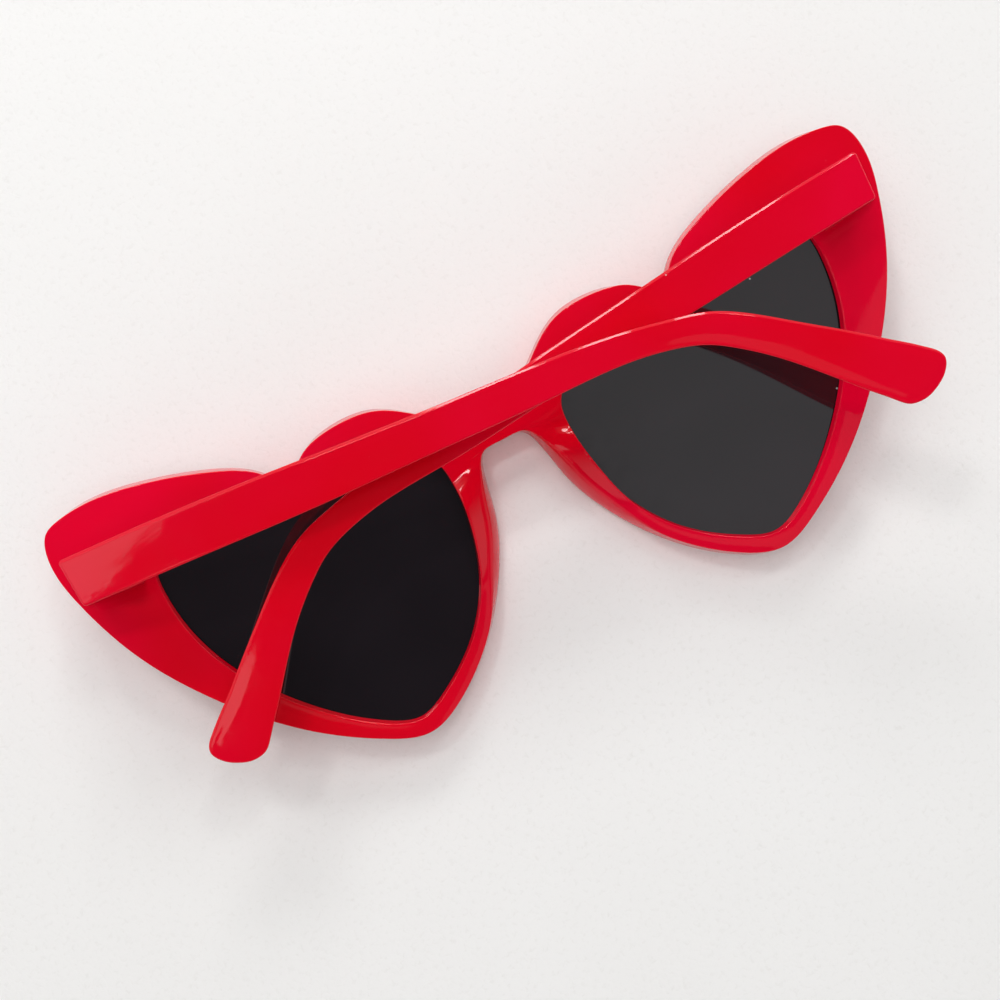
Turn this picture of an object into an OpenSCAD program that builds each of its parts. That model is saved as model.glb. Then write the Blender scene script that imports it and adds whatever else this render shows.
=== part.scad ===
// Heart shaped sunglasses, folded and lying face down on a table.
// Millimetres. +X is the wearer's right, +Y is up on the face, +Z points to the wearer.
// The origin is on the table, under the middle of the front.

/* [Front] */
// Width of the moulded front over both hearts
front_w = 145.5; // [144:0.5:148]
// Height of the front, from the lowest points to the outer lobes
front_h = 59.1; // [58:0.1:61]
// Thickness of the front
front_t = 4.2; // [4:0.1:4.6]
// Radius to which the front wraps round the face
wrap_r = 340; // [300:10:420]
// Rounding of the back edges
back_edge = 0.8; // [0.6:0.1:1]
// Chamfer of the front edges
front_edge = 0.5; // [0.3:0.1:0.7]
// Draft of the outer wall, over its height
draft_depth = 0.45; // [0.2:0.05:0.6]
// How far the back face swells between its edges
swell = 0.25; // [0.1:0.05:0.4]

/* [Lens openings] */
// Distance between the two openings, across the nose
openings_apart = 21.5; // [20.5:0.5:22.5]
// Width of one opening
opening_w = 48.6; // [47.5:0.1:49]
// Height of one opening
opening_h = 45.6; // [44.5:0.1:46.5]
// Middle of the openings below the middle of the front
opening_low = 3.6; // [3:0.1:4]

/* [Lenses] */
// Thickness of a lens
lens_t = 2; // [1.8:0.1:2.2]
// Lip of the front that holds the lens from the outside
lip_t = 0.9; // [0.7:0.1:1]
// Depth of the groove that a lens snaps into
groove_d = 0.8; // [0.6:0.1:0.9]
// Clearance between a lens and its groove
lens_gap = 0.05; // [0.03:0.01:0.08]

/* [Nose pads] */
// How far a moulded pad stands up from the back of the front
pad_rise = 2.4; // [1.8:0.1:3]
// How far the face of a pad slopes away from the nose
pad_flare = 1.3; // [0.8:0.1:1.5]
// Length of a pad along the nose
pad_l = 22; // [18:1:24]
// Middle of a pad below the middle of the front
pad_low = 2; // [0:0.5:4]

/* [Hinges] */
// Hinge axis in from the side of the front
hinge_in = 6.5; // [6.3:0.05:6.7]
// Hinge above the middle of the front
hinge_up = 16.6; // [16.2:0.1:17]
// Radius of the barrels
barrel_r = 1.1; // [1:0.05:1.15]
// Radius of the screw
screw_r = 0.6; // [0.5:0.05:0.65]
// Length of the middle barrel
middle_l = 2.2; // [1.8:0.1:2.6]
// Length of each outer barrel
outer_l = 1.5; // [1.3:0.1:1.8]
// Thickness of the metal leaves
leaf_t = 0.8; // [0.6:0.1:0.9]
// Length of the front leaf
front_leaf_l = 5; // [4.5:0.1:5.4]
// Length of the temple leaf
temple_leaf_l = 8; // [7:0.1:9]
// Radius of the pegs that anchor a leaf
peg_r = 0.45; // [0.35:0.05:0.55]
// Length of the pegs
peg_l = 1.4; // [1:0.1:1.6]
// Running clearance round the screw in the middle barrel
run_gap = 0.04; // [0.02:0.01:0.06]
// Clearance of the screw in the outer barrels
thread_gap = 0.02; // [0.01:0.01:0.03]
// Clearance between neighbouring barrels
barrel_gap = 0.06; // [0.04:0.01:0.1]
// Head of the screw, radius
head_r = 0.95; // [0.8:0.05:1]
// Head of the screw, height
head_h = 0.55; // [0.4:0.05:0.7]

/* [Hinge boss] */
// Height of the boss over the back of the front at the hinge axis
boss_rise = 1.2; // [1:0.1:1.5]
// Length of the boss, in towards the lens
boss_l = 9.6; // [9:0.1:10]
// Length of the stop block at the outer end of the boss
stop_l = 4.2; // [3.8:0.1:4.6]
// How far the stop block reaches above the edge of the temple
stop_over = 2; // [1.6:0.1:2.2]
// Rounding of the boss and its block, seen from the back
boss_r = 0.7; // [0.4:0.1:0.9]

/* [Temples] */
// Reach of a temple, from its end face to the middle of its tip
temple_l = 129.7; // [127:0.1:132]
// Drop of the tip below the hinge
temple_drop = 34; // [31:0.5:36]
// Width at the hinge
butt_w = 8; // [7.6:0.1:8.2]
// Width of the waist before the ear
waist_w = 4.4; // [4:0.1:5]
// Width of the rounded tip
tip_w = 8.4; // [8:0.1:9]
// Thickness at the hinge
temple_t = 3.6; // [3.3:0.1:3.8]
// Thickness at the tip
tip_t = 2.8; // [2.4:0.1:3]
// Rounding of the long edges
temple_edge = 0.7; // [0.5:0.1:0.9]
// Gap from the hinge axis to the inner face of the temple
face_gap = 1.2; // [1.2:0.02:1.3]
// Reach of the end face past the hinge axis
butt_reach = 2.6; // [2.5:0.05:2.7]
// How far the lower corner of the end face lies inside the upper one
butt_slant = 0.6; // [0:0.1:0.8]
// Gap between the end face and the front when a temple is open
stop_gap = 0.1; // [0.05:0.01:0.15]

/* [Folded pose] */
// Angle at which the left temple lies on the right one
left_lie = 3.4; // [3.2:0.1:4]
// Angle at which the right temple lies over the lenses
right_lie = -1.5; // [-1.7:0.1:-1]

/* [Hidden] */

$fn = 32;
half_w = front_w / 2;
half_h = front_h / 2;
overrun = 1;                         // how far a cut runs past what it cuts

// Stations round one heart, from the nose arch down, round and back to the top
// of the bridge. Shares of half the width and of half the height of the front.
heart_shares = [
    [0, 0.243], [0.044, 0.232], [0.068, 0.130], [0.090, -0.100], [0.145, -0.400],
    [0.241, -0.703], [0.350, -0.918], [0.443, -1], [0.532, -0.924], [0.682, -0.670],
    [0.827, -0.286], [0.929, 0.115], [0.984, 0.485], [1, 0.728], [0.977, 0.918],
    [0.903, 0.992], [0.781, 0.973], [0.627, 0.866], [0.520, 0.715], [0.489, 0.636],
    [0.469, 0.612], [0.445, 0.648], [0.395, 0.740], [0.325, 0.780], [0.241, 0.761],
    [0.154, 0.630], [0.084, 0.510], [0, 0.470]];

// The same stations on the edge of the lens opening. Shares of the opening's width
// and height, from its middle.
opening_shares = [
    [-0.497, 0.226], [-0.499, 0.195], [-0.500, 0.150], [-0.485, 0.015], [-0.425, -0.178],
    [-0.298, -0.355], [-0.152, -0.463], [-0.052, -0.500], [0.050, -0.459], [0.250, -0.282],
    [0.400, -0.070], [0.478, 0.130], [0.500, 0.290], [0.488, 0.400], [0.435, 0.472],
    [0.350, 0.500], [0.245, 0.495], [0.120, 0.446], [0.035, 0.392], [0.000, 0.374],
    [-0.025, 0.370], [-0.058, 0.380], [-0.130, 0.420], [-0.225, 0.448], [-0.330, 0.425],
    [-0.425, 0.350], [-0.472, 0.290], [-0.491, 0.256]];

// Stations along the middle of a temple: shares of its reach, of its drop, of the
// width at the hinge, at the waist and at the tip.
temple_shares = [
    [0, 0, 1, 0, 0], [0.154, 0.044, 1, 0, 0], [0.308, 0.098, 0.86, 0.14, 0],
    [0.463, 0.147, 0.56, 0.44, 0], [0.600, 0.194, 0.35, 0.65, 0], [0.705, 0.235, 0.04, 0.96, 0],
    [0.750, 0.273, 0, 1, 0], [0.795, 0.339, 0, 0.95, 0.05], [0.824, 0.402, 0, 0.82, 0.18],
    [0.855, 0.496, 0, 0.70, 0.30], [0.887, 0.617, 0, 0.55, 0.45], [0.916, 0.720, 0, 0.27, 0.73],
    [0.946, 0.825, 0, 0.05, 0.95]];
// Shares of the rounded tip: how far along it a ring lies
tip_shares = [0.3, 0.55, 0.75, 0.87, 0.94, 0.98];
// Bluntness of the tip: 2 is an ellipse, more is squarer
tip_power = 3.4;

station_steps = 3;                   // samples from one station to the next
bridge_steps = 4;                    // samples down the middle of the bridge
ring_steps = 3;                      // rings from one temple station to the next

hinge_x = half_w - hinge_in;
boss_z = wrap_z(hinge_x) + front_t + boss_rise;
hinge_z = boss_z + stop_gap + butt_reach;
hinge_l = middle_l + 2 * barrel_gap + 2 * outer_l;
opening_x = (openings_apart + opening_w) / 2;
lens_top = lip_t + lens_t + 2 * lens_gap;
leaf_w = hinge_l;
leaf_gap = 0.02;                     // clearance of a leaf and its pegs in their seats
peg_in = 1.5;                        // pegs in from the ends of a leaf
web_w = 1.2;                         // width of the metal that joins a barrel to its leaf
slot_w = 0.35;                       // driver slot across the screw head
slot_d = 0.25;                       // depth of the driver slot
boss_sink = front_t / 2;             // how deep the boss is rooted in the front
boss_turn = 8.5;                     // the boss follows the slope of the front's side

// Height of the wrapped front's outer face at a distance from the middle
function wrap_z(x) = wrap_r - sqrt(wrap_r * wrap_r - x * x);

function unit(v) = v / norm(v);
// Right-hand normal of a path direction: it points out of a counter-clockwise outline
function outward(v) = unit([v.y, -v.x]);
function flip(p) = [-p.x, p.y];

// Slope of a smooth curve at point b, between its neighbours a and c
function slope(a, b, c) =
    let (l0 = norm(b - a), l1 = norm(c - b))
    ((b - a) * l1 / l0 + (c - b) * l0 / l1) / (l0 + l1);

// Point at share t from b to c on a smooth curve through a, b, c and d
function between(a, b, c, d, t) =
    let (l = norm(c - b), m0 = slope(a, b, c) * l, m1 = slope(b, c, d) * l)
    b * (2 * t * t * t - 3 * t * t + 1) + m0 * (t * t * t - 2 * t * t + t)
    + c * (3 * t * t - 2 * t * t * t) + m1 * (t * t * t - t * t);

// Samples along a smooth curve through p, with the points before and after it
function curve(p, before, after, steps) =
    let (q = concat([before], p, [after]), n = len(p))
    [for (i = [0 : n - 2]) for (j = [0 : steps - 1])
        between(q[i], q[i + 1], q[i + 2], q[i + 3], j / steps), p[n - 1]];

// Direction out of an outline at each of its samples
function outward_all(p, before, after) =
    let (q = concat([before], p, [after]))
    [for (i = [0 : len(p) - 1]) outward(q[i + 2] - q[i])];

heart_stations = [for (s = heart_shares) [s.x * half_w, s.y * half_h]];
opening_stations = [for (s = opening_shares)
    [opening_x + s.x * opening_w, s.y * opening_h - opening_low]];

heart_line = curve(heart_stations, flip(heart_stations[1]),
                   flip(heart_stations[len(heart_stations) - 2]), station_steps);
opening_line = curve(opening_stations, opening_stations[len(opening_stations) - 1],
                     opening_stations[0], station_steps);
line_n = len(heart_line);
loop_n = line_n + bridge_steps - 1;

heart_out = outward_all(heart_line, flip(heart_line[1]), flip(heart_line[line_n - 2]));
opening_out = outward_all(opening_line, opening_line[line_n - 1], opening_line[0]);

// Share of the way down the bridge's middle line, for the samples past the outline
function bridge_share(i) = (i - line_n + 1) / bridge_steps;
function mix(a, b, t) = a * (1 - t) + b * t;
function past(i) = i >= line_n;
function outer_at(i) = past(i) ? mix(heart_line[line_n - 1], heart_line[0], bridge_share(i))
                               : heart_line[i];
function outer_dir(i) = past(i) ? [0, 1 - 2 * bridge_share(i)] : heart_out[i];
function inner_at(i) = past(i) ? mix(opening_line[line_n - 1], opening_line[0], bridge_share(i))
                               : opening_line[i];
function inner_dir(i) = past(i) ? [-1, 0] : opening_out[i];

// A pad swells from 0 at its ends to 1 in its middle, on the nose side of the heart
function pad_share(p) =
    let (v = (p.y + pad_low) / (pad_l / 2))
    p.x < opening_x - opening_w / 4 && abs(v) < 1 && p.y < heart_stations[1].y
        ? pow(1 - v * v, 2) : 0;

function lift(p, z) = [p.x, p.y, z + wrap_z(p.x)];

// Cross-section of the rim at sample i, from the lens lip out, up the outer wall,
// over the back face and down into the lens groove
function rim_section(i) =
    let (a = inner_at(i), na = inner_dir(i), b = outer_at(i), nb = outer_dir(i),
         pad = pad_share(b), rise = pad * pad_rise, flare = draft_depth + pad * pad_flare,
         out_back = b - nb * (flare + back_edge), in_back = a + na * back_edge)
    [lift(a, lip_t),
     lift(a, front_edge),
     lift(a + na * front_edge, 0),
     lift(b - nb * front_edge, 0),
     lift(b - nb * front_edge / 4, front_edge / 4),
     lift(b, front_edge),
     lift(b - nb * flare * 0.8, front_t - back_edge + rise * 0.6),
     lift(b - nb * (flare + back_edge * 0.3), front_t - back_edge * 0.3 + rise * 0.93),
     lift(out_back, front_t + rise),
     lift(mix(out_back, in_back, 0.5), front_t + swell + rise * 0.8),
     lift(in_back, front_t + rise * 0.3),
     lift(a + na * back_edge * 0.3, front_t - back_edge * 0.3 + rise * 0.1),
     lift(a, front_t - back_edge),
     lift(a, lens_top),
     lift(a + na * groove_d, lens_top),
     lift(a + na * groove_d, lip_t)];
section_n = 16;
outer_from_index = 3;                // first and last points of the outer wall
outer_to_index = 8;

function on_middle(i, k) = (i == 0 || i >= line_n - 1) && k >= outer_from_index && k <= outer_to_index;
function rim_index(side, i, k) =
    let (near = (i % loop_n) * section_n + k % section_n)
    side == 0 || on_middle(i % loop_n, k % section_n) ? near : near + loop_n * section_n;

// Both hearts as one skin: the two halves share the points down the middle of the bridge
module rims() {
    right = [for (i = [0 : loop_n - 1]) each rim_section(i)];
    left = [for (p = right) [-p.x, p.y, p.z]];
    skin = [for (side = [0, 1]) for (i = [0 : loop_n - 1]) for (k = [0 : section_n - 1])
        if (!(on_middle(i, k) && on_middle((i + 1) % loop_n, k) && k < outer_to_index))
            let (a = rim_index(side, i, k), b = rim_index(side, i + 1, k),
                 c = rim_index(side, i + 1, k + 1), d = rim_index(side, i, k + 1))
            each side == 0 ? [[c, b, a], [d, c, a]] : [[a, b, c], [a, c, d]]];
    polyhedron(points = concat(right, left), faces = skin, convexity = 6);
}

// Rectangle with round corners, from the origin
module round_plate(size, r, h) {
    linear_extrude(h) {
        translate([r, 0]) square([size.x - 2 * r, size.y]);
        translate([0, r]) square([size.x, size.y - 2 * r]);
        for (x = [r, size.x - r], y = [r, size.y - r]) translate([x, y]) circle(r);
    }
}

// Places its child at the hinge of one side: 1 is the wearer's right, -1 the left
module at_hinge(side) {
    mirror([side < 0 ? 1 : 0, 0, 0]) translate([hinge_x, hinge_up, hinge_z]) children();
}

// Boss that carries the hinge, with the block that the open temple stops against.
// Its parts hang from the hinge axis.
module hinge_boss() {
    low_y = -butt_w / 2 - stop_over / 4;
    block_x = butt_reach + (hinge_in - butt_reach) * 0.4;
    deep_z = -stop_gap - butt_reach - boss_rise - boss_sink;
    translate([block_x, low_y, deep_z]) rotate([0, 0, -boss_turn])
        mirror([1, 0, 0]) {
            round_plate([boss_l, butt_w], boss_r, boss_rise + boss_sink);
            round_plate([stop_l, butt_w + stop_over * 1.25], boss_r, boss_rise + boss_sink);
        }
}

// Pegs of a leaf, down from its underside, or the holes for them
module pegs(l, gap) {
    for (x = [peg_in, l - peg_in]) translate([x, 0, -peg_l - gap])
        cylinder(r = peg_r + gap, h = peg_l + gap + leaf_t / 2);
}

// Plate of a leaf from the origin along +X, with its pegs, or the seat for it
module leaf_plate(l, gap) {
    translate([-gap, -leaf_w / 2 - gap, 0]) cube([l + 2 * gap, leaf_w + 2 * gap, leaf_t + gap]);
    pegs(l, gap);
}

leaf_end = barrel_r + barrel_gap;    // a leaf reaches this far past the axis
boss_level = -stop_gap - butt_reach; // top of the boss, from the axis

// Places the plate of the front leaf, flush with the boss
module front_leaf_place() {
    translate([leaf_end - front_leaf_l, 0, boss_level - leaf_t]) children();
}

// Places the plate of the temple leaf, flush with the inner face of a folded temple
module temple_leaf_place() {
    translate([leaf_end, 0, face_gap + leaf_t]) rotate([0, 180, 0]) children();
}

// Barrel along Y about the axis, from y to y + l
module barrel(y, l, r) {
    translate([0, y + l, 0]) rotate([90, 0, 0]) cylinder(r = r, h = l);
}

module front_frame() {
    color("crimson") difference() {
        union() {
            rims();
            for (side = [1, -1]) at_hinge(side) hinge_boss();
        }
        for (side = [1, -1]) at_hinge(side) front_leaf_place()
            leaf_plate(front_leaf_l, leaf_gap);
    }
}

// Outline of a lens: the opening, out into its groove
function lens_outline() = [for (i = [0 : loop_n - 1])
    inner_at(i) + inner_dir(i) * (groove_d - lens_gap)];

// A lens: its outline cut from a shell that is wrapped like the front
module lens() {
    low_z = lip_t + lens_gap;
    intersection() {
        linear_extrude(front_h) polygon(lens_outline());
        difference() {
            wrap_bar(low_z);
            wrap_bar(low_z + lens_t);
        }
    }
}

// Round bar along Y whose underside is the wrapped face, raised by z
module wrap_bar(z) {
    translate([0, front_h, wrap_r + z]) rotate([90, 0, 0])
        cylinder(r = wrap_r, h = 2 * front_h, $fn = 720);
}

module lens_right() { color([0.13, 0.12, 0.12]) lens(); }
module lens_left() { color([0.13, 0.12, 0.12]) mirror([1, 0, 0]) lens(); }

temple_stations = [for (s = temple_shares) [s[0] * temple_l, -s[1] * temple_drop]];
temple_widths = [for (s = temple_shares)
    [s[0] * temple_l, s[2] * butt_w + s[3] * waist_w + s[4] * tip_w]];
tip_base = temple_stations[len(temple_stations) - 1];
tip_end = [temple_l, -temple_drop];
temple_line = curve(temple_stations, 2 * temple_stations[0] - temple_stations[1],
                    tip_end, ring_steps);
width_line = curve(temple_widths, [-temple_widths[1].x, butt_w], [temple_l, tip_w], ring_steps);

// Corner points of a ring: half its width, its thickness and its rounding
function ring_points(h, t, r) = [
    [-h + r, 0], [h - r, 0], [h - r * 0.3, r * 0.3], [h, r], [h, t - r],
    [h - r * 0.3, t - r * 0.3], [h - r, t], [-h + r, t], [-h + r * 0.3, t - r * 0.3],
    [-h, t - r], [-h, r], [-h + r * 0.3, r * 0.3]];

// Ring across a temple at point p: side points across the blade, in its plane.
// The outer face is flat, and the thickness is taken from the inner one.
function ring(p, side, w, t, inset) =
    [for (q = ring_points(w / 2 - inset, t - 2 * inset, temple_edge - inset / 2))
        [p.x + side.x * q.x, p.y + side.y * q.x, temple_t - t + inset + q.y]];

function thickness_at(x) = temple_t + (tip_t - temple_t) * x / temple_l;

temple_n = len(temple_line);
butt_side = [butt_slant / butt_w, -1];
tip_side = outward(tip_base - temple_line[temple_n - 2]);
temple_rings = concat(
    [ring([butt_slant / 2, 0], butt_side, butt_w, temple_t, temple_edge / 3),
     ring([butt_slant / 2 + temple_edge / 3, 0], butt_side, butt_w, temple_t, 0)],
    [for (i = [1 : temple_n - 2])
        ring(temple_line[i], outward(temple_line[i + 1] - temple_line[i - 1]),
             width_line[i].y, thickness_at(temple_line[i].x), 0)],
    [ring(tip_base, tip_side, tip_w, thickness_at(tip_base.x), 0)],
    [for (s = tip_shares)
        let (round_share = pow(1 - pow(s, tip_power), 1 / tip_power))
        ring(mix(tip_base, tip_end, s), tip_side, tip_w * round_share,
             thickness_at(mix(tip_base, tip_end, s).x), temple_edge * (1 - round_share))]);

// Skin over rings of equal length, closed at both ends
module loft(rings) {
    n = len(rings);
    m = len(rings[0]);
    sides = [for (i = [0 : n - 2]) for (k = [0 : m - 1])
        let (a = i * m + k, b = i * m + (k + 1) % m, c = b + m, d = a + m)
        each [[a, b, c], [a, c, d]]];
    ends = [for (k = [1 : m - 2]) each [[0, k + 1, k],
        [(n - 1) * m, (n - 1) * m + k, (n - 1) * m + k + 1]]];
    polyhedron(points = [for (r = rings) each r], faces = concat(sides, ends), convexity = 4);
}

// Temple of the right side, folded flat, from the hinge axis
module temple() {
    difference() {
        translate([butt_reach, 0, face_gap]) mirror([1, 0, 0]) loft(temple_rings);
        temple_leaf_place() leaf_plate(temple_leaf_l, leaf_gap);
    }
}

// Turns what a temple carries about the hinge to the angle at which it lies
module lie(side) {
    at_hinge(side) rotate([0, side > 0 ? right_lie : left_lie, 0]) children();
}

module temple_right() { color("crimson") lie(1) temple(); }
module temple_left() { color("crimson") lie(-1) temple(); }

// Leaf sunk in the front: a plate with pegs, and the two outer barrels on their webs
module front_leaf() {
    outer_y = middle_l / 2 + barrel_gap;
    difference() {
        union() {
            front_leaf_place() leaf_plate(front_leaf_l, 0);
            for (y = [outer_y, -outer_y - outer_l]) {
                barrel(y, outer_l, barrel_r);
                translate([-barrel_r, y, boss_level - leaf_t / 2])
                    cube([web_w + barrel_r - web_w / 2, outer_l, leaf_t / 2 - boss_level]);
            }
        }
        barrel(-hinge_l / 2 - overrun, hinge_l + 2 * overrun, screw_r + thread_gap);
    }
}

// Leaf sunk in the temple: a plate with pegs, and the middle barrel on its web
module temple_leaf() {
    difference() {
        union() {
            temple_leaf_place() leaf_plate(temple_leaf_l, 0);
            barrel(-middle_l / 2, middle_l, barrel_r);
            translate([-web_w / 2, -middle_l / 2, 0])
                cube([web_w, middle_l, face_gap + leaf_t / 2]);
        }
        barrel(-hinge_l / 2 - overrun, hinge_l + 2 * overrun, screw_r + run_gap);
    }
}

// Screw down through the three barrels, with a slotted head on the top one
module hinge_screw() {
    difference() {
        union() {
            barrel(-hinge_l / 2, hinge_l + head_h / 2, screw_r);
            barrel(hinge_l / 2 + barrel_gap / 4, head_h, head_r);
        }
        translate([-head_r - overrun, hinge_l / 2 + head_h + barrel_gap / 4 - slot_d, -slot_w / 2])
            cube([2 * (head_r + overrun), slot_d + overrun, slot_w]);
    }
}

module front_leaf_right() { color("silver") at_hinge(1) front_leaf(); }
module front_leaf_left() { color("silver") at_hinge(-1) front_leaf(); }
module temple_leaf_right() { color("silver") lie(1) temple_leaf(); }
module temple_leaf_left() { color("silver") lie(-1) temple_leaf(); }
module hinge_screw_right() { color("gray") at_hinge(1) hinge_screw(); }
module hinge_screw_left() { color("gray") at_hinge(-1) hinge_screw(); }

front_frame();
lens_left();
lens_right();
temple_left();
temple_right();
front_leaf_left();
front_leaf_right();
temple_leaf_left();
temple_leaf_right();
hinge_screw_left();
hinge_screw_right();
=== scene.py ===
import math
import bmesh
import bpy
import numpy as np
from mathutils import Matrix, Vector


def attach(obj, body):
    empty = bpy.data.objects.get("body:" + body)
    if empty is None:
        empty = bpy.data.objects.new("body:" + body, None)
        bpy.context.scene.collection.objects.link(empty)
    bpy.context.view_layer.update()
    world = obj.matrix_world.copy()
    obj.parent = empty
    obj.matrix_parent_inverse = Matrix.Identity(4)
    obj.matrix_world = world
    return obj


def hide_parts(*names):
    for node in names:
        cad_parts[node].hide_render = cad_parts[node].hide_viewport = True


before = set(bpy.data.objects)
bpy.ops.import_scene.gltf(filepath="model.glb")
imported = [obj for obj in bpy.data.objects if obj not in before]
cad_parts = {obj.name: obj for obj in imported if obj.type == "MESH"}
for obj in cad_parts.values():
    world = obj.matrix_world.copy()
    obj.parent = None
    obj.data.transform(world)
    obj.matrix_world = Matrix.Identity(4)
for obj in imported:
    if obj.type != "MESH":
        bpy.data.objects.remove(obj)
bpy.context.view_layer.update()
print("stage: frame loaded")

mm = 0.001
meshing = {"sharpDegrees": 38, "merge": 1e-6}


def splineBends(points, span, closed):
    # second derivatives of the cubic spline through the points: each inner point's
    # slopes from both sides agree; an open spline has none at its two ends
    count = len(points)
    ahead = np.roll(points, -1, 0)
    chord = (ahead - points) / span[:, None]
    before = np.roll(span, 1)
    row = np.arange(count)
    system = np.zeros((count, count))
    system[row, row - 1] = before
    system[row, row] = 2 * (before + span)
    system[row, (row + 1) % count] = span
    right = 6 * (chord - np.roll(chord, 1, 0))
    if not closed:
        system[[0, -1]] = 0
        system[[0, -1], [0, -1]] = 1
        right[[0, -1]] = 0
    return np.linalg.solve(system, right)


def splineLine(points, steps, closed):
    # samples along the spline, steps[i] from station i to the next, and the unit
    # directions to the right of the path, from the first two columns
    span = np.linalg.norm((np.roll(points, -1, 0) - points)[:, :2], axis=1)
    bend = splineBends(points, span, closed)
    pieces = len(points) if closed else len(points) - 1
    piece = np.repeat(np.arange(pieces), steps[:pieces])
    start = np.concatenate([[0], np.cumsum(steps[:pieces])[:-1]])
    share = (np.arange(len(piece)) - start[piece]) / steps[piece]
    if not closed:
        piece = np.append(piece, pieces - 1)
        share = np.append(share, 1.0)
    after = (piece + 1) % len(points)
    width = span[piece][:, None]
    u, v = share[:, None] * width, (1 - share[:, None]) * width
    line = (bend[piece] * v ** 3 + bend[after] * u ** 3) / (6 * width) \
        + (points[piece] / width - bend[piece] * width / 6) * v \
        + (points[after] / width - bend[after] * width / 6) * u
    slope = (bend[after] * u ** 2 - bend[piece] * v ** 2) / (2 * width) \
        + (points[after] - points[piece]) / width - (bend[after] - bend[piece]) * width / 6
    side = np.stack([slope[:, 1], -slope[:, 0]], 1)
    return line, side / np.linalg.norm(side, axis=1, keepdims=True)


def smooth(t):
    # 3 t^2 - 2 t^3, level at both ends
    t = np.clip(t, 0, 1)
    return t * t * (3 - 2 * t)


def strip(points, outward, offsets, heights):
    # columns of points: each outline point moved outward by an offset, at a height
    offsets, heights = np.broadcast_arrays(np.atleast_2d(offsets), np.atleast_2d(heights))
    offsets = np.broadcast_to(offsets, (len(points), offsets.shape[1]))
    heights = np.broadcast_to(heights, offsets.shape)
    flat = points[:, None, :] + outward[:, None, :] * offsets[:, :, None]
    return np.concatenate([flat, heights[:, :, None]], 2)


def gridMesh(name, grid, closeLoop=True, closeSection=True, dropped=None, extra=None):
    # a mesh over a grid of points, rows round the loop and columns along the section
    rows, columns = grid.shape[:2]
    index = np.arange(rows * columns).reshape(rows, columns)
    i = np.arange(rows if closeLoop else rows - 1)[:, None]
    k = np.arange(columns if closeSection else columns - 1)[None, :]
    a, b = index[i, k], index[(i + 1) % rows, k]
    c, d = index[(i + 1) % rows, (k + 1) % columns], index[i, (k + 1) % columns]
    quads = np.stack([a, b, c, d], 2).reshape(-1, 4)
    if dropped is not None:
        quads = quads[~dropped.reshape(-1)]
    points = grid.reshape(-1, 3)
    if extra is not None:
        points, quads = extra(points, quads)
    used, quads = np.unique(quads, return_inverse=True)
    mesh = bpy.data.meshes.new(name)
    mesh.from_pydata((points[used] * mm).tolist(), [], quads.reshape(-1, 4).tolist())
    return mesh


def finishMesh(mesh):
    # merges doubled points, points every face outwards and marks the sharp edges
    work = bmesh.new()
    work.from_mesh(mesh)
    bmesh.ops.remove_doubles(work, verts=work.verts, dist=meshing["merge"])
    bmesh.ops.dissolve_degenerate(work, edges=work.edges, dist=meshing["merge"])
    bmesh.ops.recalc_face_normals(work, faces=work.faces)
    if work.calc_volume(signed=True) < 0:
        bmesh.ops.reverse_faces(work, faces=work.faces)
    work.to_mesh(mesh)
    work.free()
    mesh.shade_smooth()
    mesh.set_sharp_from_angle(angle=math.radians(meshing["sharpDegrees"]))
    return mesh


def addPiece(mesh, body, slotName, material, *nodes):
    # a mesh as a visible piece of its body, in place of the nodes named
    piece = bpy.data.objects.new(mesh.name, mesh)
    bpy.context.scene.collection.objects.link(piece)
    piece.data.materials.append(material)
    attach(piece, body)
    if nodes:
        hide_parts(*nodes)
    return piece


def newMaterial(name):
    # a node material, its tree and its shader
    material = bpy.data.materials.new(name)
    material.use_nodes = True
    tree = material.node_tree
    return material, tree, tree.nodes["Principled BSDF"]


def addNode(tree, kind, inputs=None, **settings):
    # a node whose inputs are given as values or as sockets to link
    node = tree.nodes.new(kind)
    for key, value in settings.items():
        setattr(node, key, value)
    for key, value in (inputs or {}).items():
        if isinstance(value, bpy.types.NodeSocket):
            tree.links.new(value, node.inputs[key])
        else:
            node.inputs[key].default_value = value
    return node


def noiseField(tree, place, scale, detail=3.0, roughness=0.5, distortion=0.0):
    # fractal noise between 0 and 1, scale lumps per metre
    return addNode(tree, "ShaderNodeTexNoise", {
        "Vector": place, "Scale": scale, "Detail": detail,
        "Roughness": roughness, "Distortion": distortion}).outputs["Fac"]


def ranged(tree, value, low, high, toLow, toHigh):
    # a value moved in proportion from one range to another
    return addNode(tree, "ShaderNodeMapRange", {
        "Value": value, "From Min": low, "From Max": high,
        "To Min": toLow, "To Max": toHigh}).outputs["Result"]


def blendColours(tree, factor, a, b):
    # colour a * (1 - factor) + b * factor
    node = addNode(tree, "ShaderNodeMix", data_type="RGBA")
    tree.links.new(factor, node.inputs["Factor"])
    for socket, value in ((node.inputs[6], a), (node.inputs[7], b)):
        if isinstance(value, bpy.types.NodeSocket):
            tree.links.new(value, socket)
        else:
            socket.default_value = (*value, 1)
    return node.outputs[2]


def calculated(tree, operation, a, b):
    # one sum on two values or sockets
    return addNode(tree, "ShaderNodeMath", {0: a, 1: b}, operation=operation).outputs[0]


def dustField(tree, place, finish):
    # a few small specks: the cores of some Voronoi cells, picked by their random colour
    size = finish["dustSize"]
    cells = addNode(tree, "ShaderNodeTexVoronoi", {"Vector": place, "Scale": finish["dustScale"]})
    core = ranged(tree, cells.outputs["Distance"], size * finish["dustCore"], size, 1, 0)
    picked = addNode(tree, "ShaderNodeSeparateColor", {"Color": cells.outputs["Color"]})
    chosen = calculated(tree, "GREATER_THAN", picked.outputs[0], 1 - finish["dustShare"])
    return calculated(tree, "MULTIPLY", core, chosen)


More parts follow.
